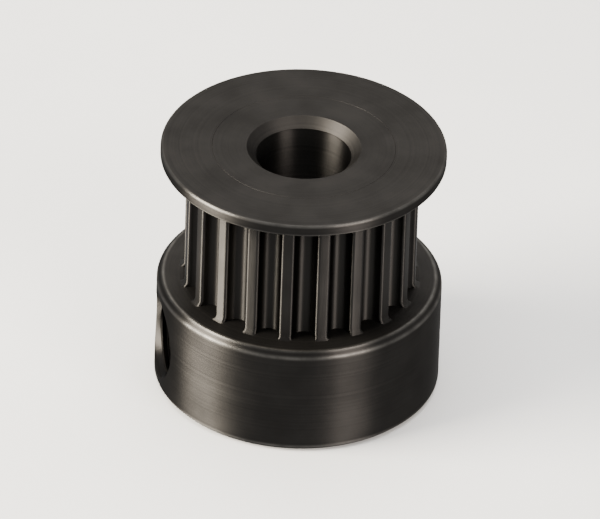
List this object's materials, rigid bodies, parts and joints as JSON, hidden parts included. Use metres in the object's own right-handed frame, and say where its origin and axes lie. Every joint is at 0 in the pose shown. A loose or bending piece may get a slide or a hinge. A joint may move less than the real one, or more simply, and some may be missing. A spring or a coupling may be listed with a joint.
{
  "type": "timing belt pulley",
  "caption": "Toothed pulley for a 2 mm pitch, 6 mm wide timing belt, with a flange and a clamping hub whose set screws hold it on a 5 mm shaft.",
  "frame": {"origin": "on the bore's axis, at the hub's end face", "axes": "+Z along the bore from the hub to the flange; set screw a points along -X and set screw b along +Y"},
  "size_m": [0.015, 0.015, 0.0142],
  "materials": {
    "black_oxide_steel": "satin",
    "screw_steel": "satin"
  },
  "bodies": {
    "pulley": {"pulley_body": "black_oxide_steel", "end_flange": "black_oxide_steel"},
    "screw_a": {"set_screw_a": "screw_steel"},
    "screw_b": {"set_screw_b": "screw_steel"}
  },
  "joints": [
    {"name": "screw_a_travel", "type": "slide", "parent": "pulley", "child": "screw_a", "axis": [-1, 0, 0], "range_m": [-0.0005, 0.0035]},
    {"name": "screw_b_travel", "type": "slide", "parent": "pulley", "child": "screw_b", "axis": [0, 1, 0], "range_m": [-0.0005, 0.0035]}
  ]
}
